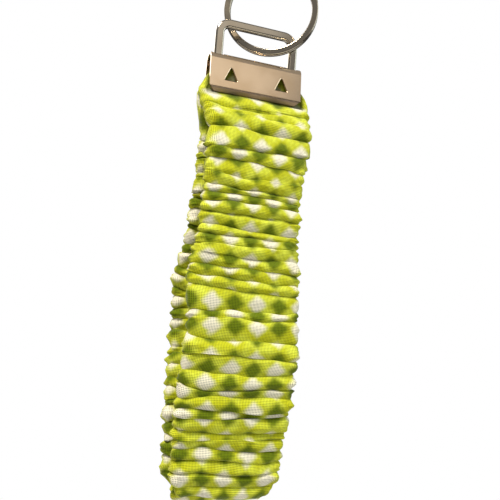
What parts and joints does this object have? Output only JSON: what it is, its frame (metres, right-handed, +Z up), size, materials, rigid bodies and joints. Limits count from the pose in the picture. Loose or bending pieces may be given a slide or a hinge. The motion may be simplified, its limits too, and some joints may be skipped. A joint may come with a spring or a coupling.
{
  "type": "wristlet keychain",
  "caption": "Elastic wristlet: a ruched cotton tube over wide elastic, looped and bitten by a crimped metal clamp, hung by a wire bail from a split ring.",
  "frame": {"origin": "the highest point inside the split ring, where a hook carries the wristlet; the ring's centre is straight below it", "axes": "+Z up, +X to the right across the clamp seen from the front, -Y out of the front plate; the loop hangs along -Z"},
  "size_m": [0.0376, 0.025, 0.1777],
  "materials": {
    "ring_nickel": "worn warm nickel plate on spring steel",
    "bail_nickel": "worn warm nickel plate on steel wire",
    "clamp_nickel": "satin champagne nickel plate on steel sheet",
    "cotton": "plain-weave cotton printed with lime, green and white diamonds",
    "elastic": "white woven elastic webbing",
    "thread": "lime polyester sewing thread"
  },
  "bodies": {
    "ring": {"split_ring": "ring_nickel"},
    "bail": {"bail": "bail_nickel"},
    "clamp": {"clamp_shell": "clamp_nickel", "cover_end_front": "cotton", "cover_end_back": "cotton", "elastic_end_front": "elastic", "elastic_end_back": "elastic", "basting_stitches": "thread"},
    "strap": {"cover_front": "cotton", "cover_back": "cotton", "elastic_front": "elastic", "elastic_back": "elastic", "seam_thread_front": "thread", "seam_thread_back": "thread"},
    "fold": {"cover_fold": "cotton", "elastic_fold": "elastic", "seam_thread_fold": "thread"}
  },
  "joints": [
    {"name": "bail_swing", "type": "hinge", "parent": "ring", "child": "bail", "pos_m": [-0.0043, 0, -0.02195], "axis": [1, 0, 0], "range_deg": [0, 75]},
    {"name": "clamp_swing", "type": "hinge", "parent": "bail", "child": "clamp", "pos_m": [-0.0043, 0, -0.03552], "axis": [1, 0, 0], "range_deg": [-12, 60]},
    {"name": "strap_flex", "type": "hinge", "parent": "clamp", "child": "strap", "pos_m": [-0.0043, 0, -0.04969], "axis": [1, 0, 0], "range_deg": [-60, 60], "stiffness_Nm_per_rad": 0.004},
    {"name": "elastic_stretch", "type": "slide", "parent": "strap", "child": "fold", "axis": [0, 0, -1], "range_m": [0, 0.045], "stiffness_N_per_m": 150, "springref_m": -0.001}
  ]
}
